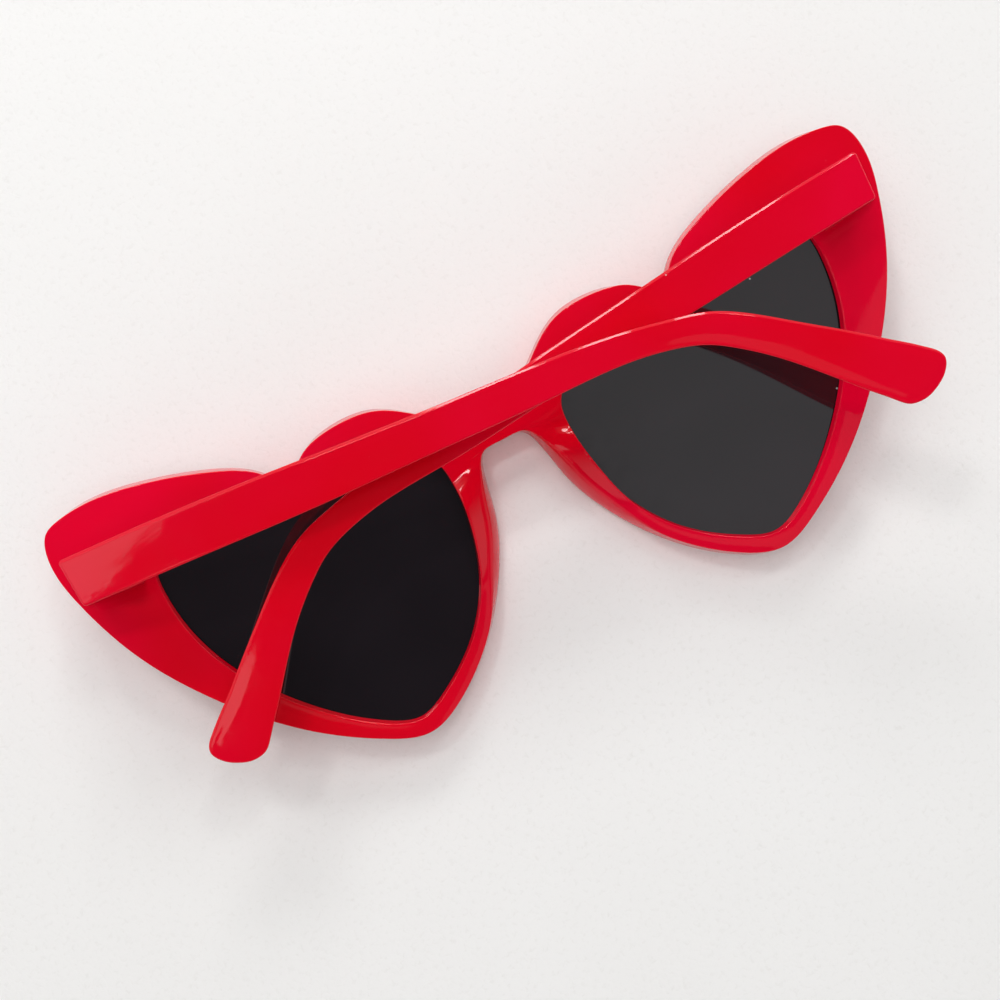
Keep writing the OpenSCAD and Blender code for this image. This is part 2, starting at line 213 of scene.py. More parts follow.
def dustyColour(tree, place, finish, dark, light):
    # two tones blended by soft noise, with dust specks on top
    cloud = noiseField(tree, place, *finish["cloudNoise"])
    colour = blendColours(tree, ranged(tree, cloud, *finish["cloudRange"], 0, 1), dark, light)
    return blendColours(tree, dustField(tree, place, finish), colour, finish["dust"])


def bumped(tree, height, distance, before=None, strength=1.0):
    # a bump of the given height in metres, on top of the one before it
    inputs = {"Height": height, "Strength": strength, "Distance": distance}
    if before is not None:
        inputs["Normal"] = before
    return addNode(tree, "ShaderNodeBump", inputs).outputs[0]


# Each noise is given as its lumps per metre, detail, roughness and distortion
redPlastic = {
    "deep": (0.680, 0.0004, 0.010), "warm": (0.745, 0.0006, 0.026),
    "cloudNoise": (26, 2), "cloudRange": (0.35, 0.65),
    "dust": (0.75, 0.45, 0.45), "dustScale": 210, "dustSize": 0.035, "dustCore": 0.6,
    "dustShare": 0.5,
    "roughNoise": (240, 4, 0.6), "roughRange": (0.3, 0.7), "roughLow": 0.03, "roughHigh": 0.075,
    "specular": 0.32,
    "waveNoise": (110, 2, 0.45, 0.4), "waveDepth": 0.000045,
    "peelNoise": (620, 2, 0.5, 0.3), "peelDepth": 0.000006,
    "grainNoise": (1900, 3), "grainDepth": 0.0000012,
}


def makeRedPlastic():
    # glossy red whose tone, roughness and height wander by noise, with a few dust specks
    material, tree, shader = newMaterial("glossyRedPlastic")
    place = addNode(tree, "ShaderNodeTexCoord").outputs["Object"]
    colour = dustyColour(tree, place, redPlastic, redPlastic["deep"], redPlastic["warm"])
    tree.links.new(colour, shader.inputs["Base Color"])
    rough = ranged(tree, noiseField(tree, place, *redPlastic["roughNoise"]),
                   *redPlastic["roughRange"], redPlastic["roughLow"], redPlastic["roughHigh"])
    tree.links.new(rough, shader.inputs["Roughness"])
    wave = bumped(tree, noiseField(tree, place, *redPlastic["waveNoise"]),
                  redPlastic["waveDepth"])
    peel = bumped(tree, noiseField(tree, place, *redPlastic["peelNoise"]),
                  redPlastic["peelDepth"], wave)
    grain = bumped(tree, noiseField(tree, place, *redPlastic["grainNoise"]),
                   redPlastic["grainDepth"], peel)
    tree.links.new(grain, shader.inputs["Normal"])
    shader.inputs["Specular IOR Level"].default_value = redPlastic["specular"]
    return material


smokedLens = {
    "dark": (0.0088, 0.0060, 0.0082), "light": (0.0130, 0.0092, 0.0122),
    "cloudNoise": (30, 2), "cloudRange": (0.35, 0.65),
    "dust": (0.5, 0.48, 0.46), "dustScale": 150, "dustSize": 0.03, "dustCore": 0.6,
    "dustShare": 0.8,
    "roughNoise": (400, 4), "roughRange": (0.3, 0.7), "roughLow": 0.02, "roughHigh": 0.05,
    "ior": 1.80, "bowFrom": -0.020, "bow": 5.0,
}


def makeSmokedLens():
    # nearly black glossy plastic with a faint cloudy tone and a few dust specks
    material, tree, shader = newMaterial("smokedLens")
    place = addNode(tree, "ShaderNodeTexCoord").outputs["Object"]
    colour = dustyColour(tree, place, smokedLens, smokedLens["dark"], smokedLens["light"])
    tree.links.new(colour, shader.inputs["Base Color"])
    rough = ranged(tree, noiseField(tree, place, *smokedLens["roughNoise"]),
                   *smokedLens["roughRange"], smokedLens["roughLow"], smokedLens["roughHigh"])
    tree.links.new(rough, shader.inputs["Roughness"])
    shader.inputs["IOR"].default_value = smokedLens["ior"]
    # the upper half is slightly bowed: height = bow * max(y - bowFrom, 0)^2 / 2
    upright = addNode(tree, "ShaderNodeSeparateXYZ", {"Vector": place}).outputs["Y"]
    above = calculated(tree, "SUBTRACT", upright, smokedLens["bowFrom"])
    above = calculated(tree, "MAXIMUM", above, 0.0)
    square = calculated(tree, "POWER", above, 2.0)
    bow = calculated(tree, "MULTIPLY", square, smokedLens["bow"] / 2)
    tree.links.new(bumped(tree, bow, 1.0), shader.inputs["Normal"])
    return material


hingeSteel = {
    "dull": (0.52, 0.50, 0.47), "bright": (0.74, 0.73, 0.70),
    "roughLow": 0.22, "roughHigh": 0.42,
    "across": 9000, "along": 700, "brushNoise": (1.0, 3), "brushRange": (0.3, 0.7),
}


def makeHingeSteel(name, turned):
    # drawn steel: noise stretched along the metal moves its tone and roughness
    material, tree, shader = newMaterial(name)
    place = addNode(tree, "ShaderNodeTexCoord").outputs["Object"]
    across, along = hingeSteel["across"], hingeSteel["along"]
    stretch = (across, along, across) if turned else (along, across, across)
    drawn = addNode(tree, "ShaderNodeMapping", {"Vector": place, "Scale": stretch}).outputs[0]
    brushed = noiseField(tree, drawn, *hingeSteel["brushNoise"])
    colour = blendColours(tree, ranged(tree, brushed, *hingeSteel["brushRange"], 0, 1),
                          hingeSteel["dull"], hingeSteel["bright"])
    tree.links.new(colour, shader.inputs["Base Color"])
    rough = ranged(tree, brushed, *hingeSteel["brushRange"],
                   hingeSteel["roughLow"], hingeSteel["roughHigh"])
    tree.links.new(rough, shader.inputs["Roughness"])
    shader.inputs["Metallic"].default_value = 1.0
    return material


tableTop = {
    "low": (0.89, 0.883, 0.868), "high": (0.915, 0.91, 0.90), "pit": (0.83, 0.82, 0.80),
    "cloudNoise": (9, 3), "cloudRange": (0.3, 0.7),
    "leatherNoise": (1100, 4, 0.65, 0.6), "pitRange": (0.28, 0.46), "pitShare": 0.6,
    "rough": 0.6, "specular": 0.25, "grainDepth": 0.00010, "grainStrength": 0.6,
}


def makeTableTop():
    # pale leather-grained table: fine noise gives its pits and its grain
    material, tree, shader = newMaterial("paleTable")
    place = addNode(tree, "ShaderNodeTexCoord").outputs["Object"]
    cloud = ranged(tree, noiseField(tree, place, *tableTop["cloudNoise"]),
                   *tableTop["cloudRange"], 0, 1)
    leather = noiseField(tree, place, *tableTop["leatherNoise"])
    pits = ranged(tree, leather, *tableTop["pitRange"], 1, 0)
    colour = blendColours(tree, cloud, tableTop["low"], tableTop["high"])
    pitShare = calculated(tree, "MULTIPLY", pits, tableTop["pitShare"])
    colour = blendColours(tree, pitShare, colour, tableTop["pit"])
    tree.links.new(colour, shader.inputs["Base Color"])
    grain = bumped(tree, leather, tableTop["grainDepth"], strength=tableTop["grainStrength"])
    tree.links.new(grain, shader.inputs["Normal"])
    shader.inputs["Roughness"].default_value = tableTop["rough"]
    shader.inputs["Specular IOR Level"].default_value = tableTop["specular"]
    return material


redMaterial = makeRedPlastic()
lensMaterial = makeSmokedLens()
leafMaterial = makeHingeSteel("drawnHingeSteel", False)
screwMaterial = makeHingeSteel("turnedScrewSteel", True)
print("stage: finishes ready")

front = {
    "width": 145.5, "height": 59.1, "thick": 4.2, "wrapRadius": 340.0,
    "frontEdge": 0.5, "backEdge": 0.18, "innerEdge": 0.28, "innerLean": 0.3, "swell": 0.06,
    "draftLow": 0.2, "draftHigh": 0.9, "undercut": 0.45,
    "lip": 0.9, "groove": 0.8, "grooveTop": 3.0,
    "padRise": 2.5, "padPeak": -2.5, "padUp": 10.5, "padDown": 10.5, "padTilt": 0.5,
    "padDraft": 0.8, "padRound": 1.2,
    "flareTop": 8.0, "flareFull": -3.0, "flareFade": -9.0, "flareEnd": -20.5,
    "bridgeOver": 0.8, "bridgeFade": 3.5, "leanFrom": 0.35,
    "stepsPerStation": 10, "bridgeSteps": 24, "arcSteps": 7, "wallSteps": 10,
    "faceSteps": 14, "openingWallSteps": 4,
}
opening = {"apart": 21.5, "width": 48.6, "height": 45.6, "low": 3.6}
# Stations round one heart and round its lens opening, as shares of their width and height
heartShares = np.array([
    [0, 0.257], [0.048, 0.248], [0.072, 0.132], [0.092, -0.100], [0.147, -0.398],
    [0.241, -0.703], [0.350, -0.918], [0.443, -1], [0.532, -0.924], [0.682, -0.670],
    [0.827, -0.286], [0.929, 0.115], [0.984, 0.485], [1, 0.728], [0.977, 0.918],
    [0.903, 0.992], [0.781, 0.973], [0.627, 0.866], [0.520, 0.715], [0.489, 0.636],
    [0.469, 0.612], [0.445, 0.648], [0.395, 0.740], [0.325, 0.780], [0.241, 0.761],
    [0.154, 0.630], [0.084, 0.510], [0, 0.470]])
openingShares = np.array([
    [-0.497, 0.226], [-0.499, 0.195], [-0.500, 0.150], [-0.485, 0.015], [-0.425, -0.178],
    [-0.298, -0.355], [-0.152, -0.463], [-0.052, -0.500], [0.050, -0.459], [0.250, -0.282],
    [0.400, -0.070], [0.478, 0.130], [0.500, 0.290], [0.488, 0.400], [0.435, 0.472],
    [0.350, 0.500], [0.245, 0.495], [0.120, 0.446], [0.035, 0.392], [0.000, 0.374],
    [-0.025, 0.370], [-0.058, 0.380], [-0.130, 0.420], [-0.225, 0.448], [-0.330, 0.425],
    [-0.425, 0.350], [-0.472, 0.290], [-0.491, 0.256]])

halfWidth, halfHeight = front["width"] / 2, front["height"] / 2
openingX = (opening["apart"] + opening["width"]) / 2
heartStations = heartShares * [halfWidth, halfHeight]
wholeOutline = np.concatenate([heartStations, (heartStations[1:-1] * [-1, 1])[::-1]])
openingMiddle = np.array([openingX, -opening["low"]])
openingStations = openingShares * [opening["width"], opening["height"]] + openingMiddle
stationCount = len(heartStations)


def wrapHeight(x):
    # height of a round wrap at distance x from the middle: radius - sqrt(radius^2 - x^2)
    radius = front["wrapRadius"]
    return radius - np.sqrt(radius * radius - x * x)


def rimLines():
    # matching samples round the heart and round its opening; past the outline's end
    # they go down the middle of the bridge
    steps = np.full(len(wholeOutline), front["stepsPerStation"])
    outer, outerSide = splineLine(wholeOutline, steps, True)
    last = (stationCount - 1) * front["stepsPerStation"]
    outer, outerSide = outer[:last + 1], outerSide[:last + 1]
    outer[[0, -1], 0] = 0
    share = (np.arange(1, front["bridgeSteps"]) / front["bridgeSteps"])[:, None]
    bridge = outer[-1] * (1 - share) + outer[0] * share
    bridgeSide = np.concatenate([share * 0, 1 - 2 * share], 1)
    outer = np.concatenate([outer, bridge])
    outerSide = np.concatenate([outerSide, bridgeSide])
    steps = np.full(stationCount, front["stepsPerStation"])
    steps[-1] = front["bridgeSteps"]
    inner, innerSide = splineLine(openingStations, steps, True)
    return outer, outerSide, inner, innerSide, last


def frontSection():
    # the rim's section at every sample: lens lip, front edge, front face, leaning outer
    # wall, back face, inner edge and lens groove, all wrapped round the face
    outer, outerSide, inner, innerSide, last = rimLines()
    thick, edge, small = front["thick"], front["frontEdge"], front["innerEdge"]
    onNose = (outer[:, 0] < openingX - opening["width"] / 4) & (outer[:, 1] < front["flareTop"])
    low = outer[:, 1]
    # nose pad: rise * (1 - u^2)^2 along the nose side, highest at the lens
    reach = np.where(low > front["padPeak"], front["padUp"], front["padDown"])
    u = (low - front["padPeak"]) / reach
    rise = np.where(onNose, (1 - np.clip(u * u, 0, 1)) ** 2, 0) * front["padRise"]
    flare = np.where(onNose, 1.0, 0.0) \
        * smooth((front["flareTop"] - low) / (front["flareTop"] - front["flareFull"])) \
        * smooth((low - front["flareEnd"]) / (front["flareFade"] - front["flareEnd"]))
    # the wall leans in by low + high * up^4, and the bridge's lower edge leans out
    up, down = np.clip(outerSide[:, 1], 0, 1), np.clip(-outerSide[:, 1], 0, 1)
    onBridge = 1 - smooth((heartStations[1, 1] + front["bridgeOver"] - low) / front["bridgeFade"])
    draft = front["draftLow"] + front["draftHigh"] * up ** 4 \
        - front["undercut"] * down * onBridge * (outer[:, 0] < openingX) + front["padDraft"] * flare
    back = (front["backEdge"] + (front["padRound"] - front["backEdge"]) * flare)[:, None]
    top = (thick + rise * (1 - front["padTilt"]))[:, None]
    topIn = (thick + rise)[:, None]
    draft = draft[:, None]
    flare = flare[:, None]
    lean = np.arctan2(draft * (1 + flare), top - edge)
    turn = np.linspace(0, math.pi / 2, front["arcSteps"] + 1)[None, :]
    columns = [
        strip(inner, innerSide, np.zeros((1, 2)), [[front["lip"], (front["lip"] + edge) / 2]]),
        strip(inner, innerSide, edge * (1 - np.cos(turn)), edge * (1 - np.sin(turn)))]
    share = np.linspace(0, 1, front["faceSteps"] + 1)[None, 1:-1, None]
    inFront = (inner + innerSide * edge)[:, None]
    outFront = (outer - outerSide * edge)[:, None]
    flat = inFront * (1 - share) + outFront * share
    columns.append(np.concatenate([flat, np.zeros(flat.shape[:2] + (1,))], 2))
    wallStart = sum(c.shape[1] for c in columns)
    columns.append(strip(outer, outerSide, -edge * (1 - np.sin(turn)), edge * (1 - np.cos(turn))))
    # straight up to the round edge, whose arc starts at the wall's own lean; under a nose
    # pad the wall is bowed out: offset = draft * height share squared
    rows = np.linspace(0, 1, front["wallSteps"] + 1)[None, 1:]
    bend = lean + (math.pi / 2 - lean) * np.linspace(0, 1, 2 * front["arcSteps"] + 1)[None, 1:]
    start = top - back + back * np.sin(lean)
    wallOut = np.concatenate([draft * (rows * (1 - flare) + rows * rows * flare),
                              draft + back * (np.cos(lean) - np.cos(bend))], 1)
    wallUp = np.concatenate([edge + (start - edge) * rows, top - back + back * np.sin(bend)], 1)
    columns.append(strip(outer, outerSide, -wallOut, wallUp))
    wallEnd = sum(c.shape[1] for c in columns) - 1
    outBack = outer - outerSide * wallOut[:, -1:]
    middle = (np.arange(1, front["bridgeSteps"]) / front["bridgeSteps"])[:, None]
    outBack[last + 1:] = outBack[last] * (1 - middle) + outBack[0] * middle
    # the opening widens towards the back where its wall faces up the face
    widen = front["innerLean"] * smooth(front["leanFrom"] - innerSide[:, 1:])
    inBack = inner + innerSide * (small + widen)
    # the back face swells between its edges: height = swell * 4 * share * (1 - share)
    share = np.linspace(0, 1, front["faceSteps"] + 1)[None, 1:]
    flat = outBack[:, None] * (1 - share[..., None]) + inBack[:, None] * share[..., None]
    height = top + (topIn - top) * share + front["swell"] * (1 - flare) * 4 * share * (1 - share)
    columns.append(np.concatenate([flat, height[..., None]], 2))
    columns.append(strip(inner, innerSide, widen + small * (1 - np.sin(turn[:, 1:])),
                         topIn - small * (1 - np.cos(turn[:, 1:]))))
    rows = np.linspace(0, 1, front["openingWallSteps"] + 1)[None, 1:]
    columns.append(strip(inner, innerSide, widen * (1 - rows),
                         (topIn - small) * (1 - rows) + front["grooveTop"] * rows))
    columns.append(strip(inner, innerSide, [[front["groove"], front["groove"]]],
                         [[front["grooveTop"], front["lip"]]]))
    grid = np.concatenate(columns, 1)
    grid[..., 2] += wrapHeight(grid[..., 0])
    rows = len(grid)
    onMiddle = (np.arange(rows) >= last) | (np.arange(rows) == 0)
    inWall = (np.arange(grid.shape[1]) >= wallStart) & (np.arange(grid.shape[1]) < wallEnd)
    dropped = (onMiddle & np.roll(onMiddle, -1))[:, None] & inWall[None, :]
    return grid, dropped


def bothSides(points, quads):
    # adds the mirror image across the middle plane, turned the right way out
    mirrored = points * [-1, 1, 1]
    return (np.concatenate([points, mirrored]),
            np.concatenate([quads, quads[:, ::-1] + len(points)]))


frontGrid, frontDropped = frontSection()
frontMesh = finishMesh(gridMesh("heartFront", frontGrid, dropped=frontDropped, extra=bothSides))
addPiece(frontMesh, "front", "red_plastic", redMaterial, "front_frame")
print("stage: moulded front", len(frontMesh.polygons), "faces")


lens = {"thick": 2.0, "gap": 0.05, "ringSteps": 40, "edge": 0.12, "dishRadius": 300.0}


def lensMesh(name, side):
    # two wrapped faces from the middle out to the groove, joined by a narrow edge
    _, _, inner, innerSide, _ = rimLines()
    low = front["lip"] + lens["gap"]
    high, edge = low + lens["thick"], lens["edge"]
    rim = inner + innerSide * (front["groove"] - lens["gap"])
    share = np.linspace(0, 1, lens["ringSteps"] + 1)[None, :, None]
    inset = rim - innerSide * edge
    face = openingMiddle * (1 - share) + inset[:, None] * share
    flat = np.concatenate([face, rim[:, None], rim[:, None], face[:, ::-1]], 1)
    count = face.shape[1]
    height = np.concatenate([np.full(count, low), [low + edge, high - edge], np.full(count, high)])
    grid = np.concatenate([flat, np.broadcast_to(height[None, :, None], flat.shape[:2] + (1,))], 2)
    # the back is dished: a round hollow up and down the lens, full at its top and bottom
    hollow = ((grid[..., 1] + opening["low"]) ** 2 - (opening["height"] / 2) ** 2) \
        / (2 * lens["dishRadius"])
    grid[:, count + 1:, 2] += np.minimum(hollow[:, count + 1:], 0)
    grid[..., 2] += wrapHeight(grid[..., 0])
    grid[..., 0] *= side
    return finishMesh(gridMesh(name, grid, closeSection=False))


for side, sideName in ((1, "right"), (-1, "left")):
    addPiece(lensMesh(f"smokedLens_{sideName}", side), "front", "tinted_lens",
             lensMaterial, f"lens_{sideName}")
print("stage: lenses")

hinge = {
    "in": 6.5, "up": 16.6, "bossRise": 1.2, "stopGap": 0.1, "proud": 0.02, "reach": 2.6,
    "merge": 2e-6, "flatDegrees": 1, "sharpDegrees": 35,
    "leafBreak": 0.06, "screwBreak": 0.05, "breakSteps": 2,
}
hingeX = halfWidth - hinge["in"]
bossTop = float(wrapHeight(hingeX)) + front["thick"] + hinge["bossRise"]
hingeZ = bossTop + hinge["stopGap"] + hinge["reach"]


def roundedCorners(corners, radii, steps):
    # a closed outline with each corner replaced by an arc of its own radius, steps points
    # to a corner
    before, after = np.roll(corners, 1, 0), np.roll(corners, -1, 0)
    inward = (before - corners) / np.linalg.norm(before - corners, axis=1, keepdims=True)
    onward = (after - corners) / np.linalg.norm(after - corners, axis=1, keepdims=True)
    half = np.arccos(np.clip(np.sum(inward * onward, 1), -1, 1)) / 2
    reach = (radii / np.tan(half))[:, None]
    start, end = corners + inward * reach, corners + onward * reach
    t = np.linspace(0, 1, steps)[None, :, None]
    weight = np.sin(half)[:, None, None]
    # a rational quadratic with this weight is an exact arc
    pull = 2 * t * (1 - t) * weight
    top = (1 - t) ** 2 * start[:, None] + pull * corners[:, None] + t * t * end[:, None]
    return (top / ((1 - t) ** 2 + pull + t * t)).reshape(-1, 2)


def outlineSides(outline):
    # unit directions out of a closed counter-clockwise outline: the step between each
    # point's two neighbours, turned a quarter to the right
    step = np.roll(outline, -1, 0) - np.roll(outline, 1, 0)
    side = np.stack([step[:, 1], -step[:, 0]], 1)
    return side / np.linalg.norm(side, axis=1, keepdims=True)


def slabSection(outline, middle, insets, heights, rise, faceShares):
    # a slab over an outline: its edge goes through the given insets and heights, and
    # both faces run in to a middle line; the upper face rises a little on its way
    rim = strip(outline, outlineSides(outline), -insets, heights)
    share = faceShares[None, 1:, None]
    faces = []
    for column in (0, -1):
        edge = rim[:, column, None]
        flat = edge[..., :2] * (1 - share) + middle[:, None] * share
        level = np.broadcast_to(edge[..., 2:], flat.shape[:2] + (1,))
        faces.append(np.concatenate([flat, level], 2))
    away = np.linalg.norm(faces[1][..., :2] - rim[:, -1, None, :2], axis=2)
    faces[1][..., 2] += rise(away)
    return np.concatenate([faces[0][:, ::-1], rim, faces[1]], 1)


boss = {
    "long": 9.6, "wide": 6.8, "blockLong": 4.2, "blockWide": 7.4,
    "outward": 4.16, "down": 3.15, "turn": 4.3, "corner": 0.7, "edge": 0.35, "deep": 3.3,
    "cornerSteps": 9, "edgeSteps": 7, "faceSteps": 4,
}


def bossMesh(name, side):
    # the raised pad under the front leaf, with the wider block that the open temple ends
    # over: an L with round corners and rounded upper and lower edges, turned in its plane
    wide, long, edge = boss["wide"], boss["long"], boss["edge"]
    blockWide, blockLong = boss["blockWide"], boss["blockLong"]
    corners = np.array([[0, 0], [0, blockWide], [-blockLong, blockWide],
                        [-blockLong, wide], [-long, wide], [-long, 0]])
    outline = roundedCorners(corners, np.full(len(corners), boss["corner"]), boss["cornerSteps"])
    middle = np.broadcast_to([-blockLong / 2, wide / 2], outline.shape)
    turn = np.linspace(0, math.pi / 2, boss["edgeSteps"] + 1)[None, :]
    inward, onward = edge * (1 - np.sin(turn)), edge * (1 - np.cos(turn))
    insets = np.concatenate([inward, onward], 1)
    heights = np.concatenate([onward, boss["deep"] - hinge["proud"] - inward], 1)
    grid = slabSection(outline, middle, insets, heights, lambda away: away * 0,
                       np.linspace(0, 1, boss["faceSteps"] + 1))
    turn = math.radians(boss["turn"])
    x = grid[..., 0] * math.cos(turn) - grid[..., 1] * math.sin(turn)
    y = grid[..., 0] * math.sin(turn) + grid[..., 1] * math.cos(turn)
    grid[..., 0] = side * (hingeX + boss["outward"] + x)
    grid[..., 1] = hinge["up"] - boss["down"] + y
    grid[..., 2] += bossTop - boss["deep"]
    return finishMesh(gridMesh(name, grid, closeSection=False))


def cadCopy(node, name):
    # a merged copy of a node's mesh with its flat faces whole and its round walls smooth
    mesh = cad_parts[node].data.copy()
    mesh.name = name
    mesh.materials.clear()
    work = bmesh.new()
    work.from_mesh(mesh)
    bmesh.ops.remove_doubles(work, verts=work.verts, dist=hinge["merge"])
    bmesh.ops.dissolve_limit(work, angle_limit=math.radians(hinge["flatDegrees"]),
                             verts=work.verts, edges=work.edges)
    bmesh.ops.recalc_face_normals(work, faces=work.faces)
    work.to_mesh(mesh)
    work.free()
    mesh.shade_smooth()
    mesh.set_sharp_from_angle(angle=math.radians(hinge["sharpDegrees"]))
    return mesh


def breakEdges(piece, width):
    # rounds the sharp edges of a metal piece by a small width
    bevel = piece.modifiers.new("brokenEdges", "BEVEL")
    bevel.width = width * mm
    bevel.segments = hinge["breakSteps"]
    bevel.limit_method = "ANGLE"
    bevel.angle_limit = math.radians(hinge["sharpDegrees"])
    bevel.harden_normals = True


for side, sideName in ((1, "right"), (-1, "left")):
    addPiece(bossMesh(f"hingeBoss_{sideName}", side), "front", "red_plastic", redMaterial)
    leaf = addPiece(cadCopy(f"front_leaf_{sideName}", f"frontLeaf_{sideName}"), "front",
                    "hinge_metal", leafMaterial, f"front_leaf_{sideName}")
    breakEdges(leaf, hinge["leafBreak"])
    leaf = addPiece(cadCopy(f"temple_leaf_{sideName}", f"templeLeaf_{sideName}"),
                    f"temple_{sideName}", "hinge_metal", leafMaterial, f"temple_leaf_{sideName}")
    breakEdges(leaf, hinge["leafBreak"])
    screw = addPiece(cadCopy(f"hinge_screw_{sideName}", f"hingeScrew_{sideName}"), "front",
                     "screw_metal", screwMaterial, f"hinge_screw_{sideName}")
    breakEdges(screw, hinge["screwBreak"])
print("stage: hinges")


temple = {
    "long": 129.7, "drop": 34.0, "buttWidth": 8.0, "waistWidth": 4.4, "tipWidth": 8.4,
    "thick": 3.6, "tipThick": 2.8, "innerEdge": 0.35, "lean": 0.5, "corner": 0.6,
    "chamferLow": 0.2, "chamferHigh": 0.48, "chamferSlope": 0.52, "edgeRound": 0.1,
    "roll": 0.07, "sink": 0.085, "rollWide": 1.6, "rollFrom": 88.0, "rollFull": 104.0,
    "slant": 0.6, "slantEnd": 6.0, "faceGap": 1.2, "buttRoom": 1.5, "buttSharp": 0.01,
    "earFrom": 55.0, "earOver": 28.0, "tipFrom": 111.0, "tipOver": 15.0,
    "stepsPerStation": 10, "cornerSteps": 9, "edgeSteps": 6, "wallSteps": 4,
    "chamferSteps": 5, "faceSteps": 12, "faceCrowding": 1.4,
    # each side's own lie, end trim, and how far its ear part and its tip have bent down
    "left": {"lie": 3.4, "trim": 0.0, "earBend": -0.4, "tipBend": -0.15},
    "right": {"lie": -1.5, "trim": 0.8, "earBend": 0.4, "tipBend": 0.7},
}
# Stations along a temple: shares of its reach, its drop and its three widths
templeShares = np.array([
    [0, 0, 1, 0, 0], [0.154, 0.044, 1, 0, 0], [0.308, 0.098, 0.86, 0.14, 0],
    [0.463, 0.147, 0.56, 0.44, 0], [0.600, 0.194, 0.35, 0.65, 0], [0.705, 0.235, 0.06, 0.94, 0],
    [0.748, 0.270, 0, 0.97, 0.03], [0.791, 0.323, 0, 0.853, 0.147],
    [0.823, 0.398, 0, 0.749, 0.251], [0.853, 0.490, 0, 0.675, 0.325],
    [0.883, 0.594, 0, 0.519, 0.481], [0.918, 0.723, 0, 0.233, 0.767],
    [0.945, 0.825, 0, 0.05, 0.95]])
# Points round the blunt ear tip, in millimetres from the hinge end of the blade
tipPoints = np.array([
    [127.8, -27.05], [129.7, -28.75], [130.8, -29.95], [131.15, -31.1], [130.6, -32.45],
    [129.3, -33.75], [127.8, -34.6], [126.2, -35.15], [124.7, -35.2], [123.4, -34.85],
    [122.3, -33.9], [121.0, -32.4]])
tipMiddle = np.array([124.6, -30.0])


def templeOutline(own):
    # the blade seen from its side: the upper edge, the blunt tip, the lower edge and the
    # two corners of the end face, with the point of the middle line that each belongs to;
    # at last its ear part drops by earBend and its tip by tipBend, each eased in by smooth
    widths = templeShares[:, 2:] @ [temple["buttWidth"], temple["waistWidth"], temple["tipWidth"]]
    stations = np.concatenate([
        templeShares[:, :2] * [temple["long"], -temple["drop"]], widths[:, None]], 1)
    steps = np.ones(len(stations), int)
    centre, side = splineLine(stations, steps, False)
    # the end face is slanted, which fades out along the blade
    start = smooth(1 - centre[:, :1] / temple["slantEnd"])
    side = side * (1 - start) + np.array([temple["slant"] / temple["buttWidth"], -1]) * start
    half = side * centre[:, 2:] / 2
    centre = centre[:, :2] + [temple["slant"] / 2, 0] * start
    upper, lower = centre - half, centre + half
    slope = (centre[1] - centre[0]) / (centre[1, 0] - centre[0, 0])
    for line in (centre, upper, lower):
        line[0] += slope * (own["trim"] + temple["buttRoom"])
    points = np.concatenate([upper, tipPoints, lower[::-1]])
    count = temple["stepsPerStation"]
    outline, _ = splineLine(points, np.full(len(points), count), False)
    tipCount = len(tipPoints)
    keys = np.concatenate([np.arange(len(centre)), len(centre) + np.arange(tipCount),
                           len(centre) + tipCount + np.arange(len(centre))]) * count
    middles = np.concatenate([centre, np.repeat(tipMiddle[None], tipCount, 0), centre[::-1]])
    at = np.arange(len(outline))
    middle = np.stack([np.interp(at, keys, middles[:, axis]) for axis in (0, 1)], 1)
    back = slope * temple["buttRoom"]
    corners = np.array([outline[-1], outline[-1] - back, outline[0] - back, outline[0]])
    radii = np.array([temple["buttSharp"], temple["corner"], temple["corner"], temple["buttSharp"]])
    count = temple["cornerSteps"]
    arcs = roundedCorners(corners, radii, count)[count:3 * count]
    outline = np.concatenate([outline, arcs])
    middle = np.concatenate([middle, np.broadcast_to(middle[0], arcs.shape)])
    for line in (outline, middle):
        long = line[:, 0]
        line[:, 1] -= own["earBend"] * smooth((long - temple["earFrom"]) / temple["earOver"]) \
            + own["tipBend"] * smooth((long - temple["tipFrom"]) / temple["tipOver"])
    return outline[::-1], middle[::-1]


